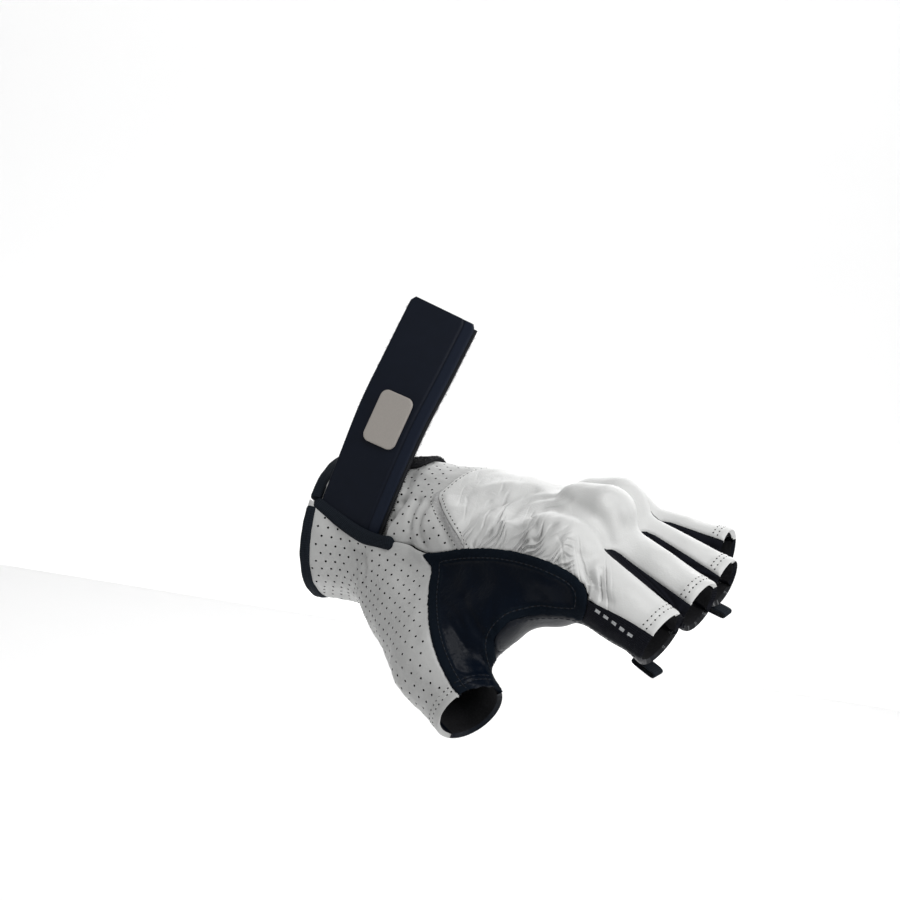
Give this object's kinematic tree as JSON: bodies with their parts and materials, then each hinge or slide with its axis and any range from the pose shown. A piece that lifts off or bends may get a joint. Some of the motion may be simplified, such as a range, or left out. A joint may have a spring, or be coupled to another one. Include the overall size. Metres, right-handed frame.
{
  "type": "motorcycle glove",
  "caption": "Fingerless left-hand motorcycle glove in white and black leather, standing as if worn, its wrist strap open and a padded slider on the heel of the hand",
  "frame": {"origin": "centre of the wrist opening", "axes": "+X into the glove along the forearm, +Y to the little finger side, +Z out of the back of the wrist; the thumb is at -Y"},
  "size_m": [0.1667, 0.122, 0.1346],
  "materials": {
    "leather_white": "smooth full grain, semi-matt",
    "leather_white_perforated": "smooth full grain with small round perforations",
    "leather_black": "glossy blue-black",
    "stretch_black": "ribbed stretch knit",
    "grip_black": "synthetic suede with a raised hexagon print",
    "slider_black": "moulded, satin",
    "binding_black": "woven elastic tape",
    "strap_charcoal": "smooth matt, blue-charcoal",
    "pile_black": "hook and loop pile",
    "patch_grey": "satin silver grey"
  },
  "bodies": {
    "root": {"back_panel": "leather_white", "wrist_panel": "leather_white_perforated", "thumb_panel": "leather_white_perforated", "web_patch": "leather_black", "palm_panel": "leather_black", "grip_panel": "grip_black", "index_side": "stretch_black", "pinky_side": "stretch_black", "fourchette_index_middle": "stretch_black", "fourchette_middle_ring": "stretch_black", "fourchette_ring_pinky": "stretch_black", "wrist_binding": "binding_black", "vent_binding": "binding_black", "strap_face": "strap_charcoal", "strap_hook": "pile_black", "strap_patch": "patch_grey", "loop_pad": "pile_black", "palm_slider": "slider_black", "pull_tab_index": "binding_black", "pull_tab_ring": "binding_black"}
  },
  "joints": []
}
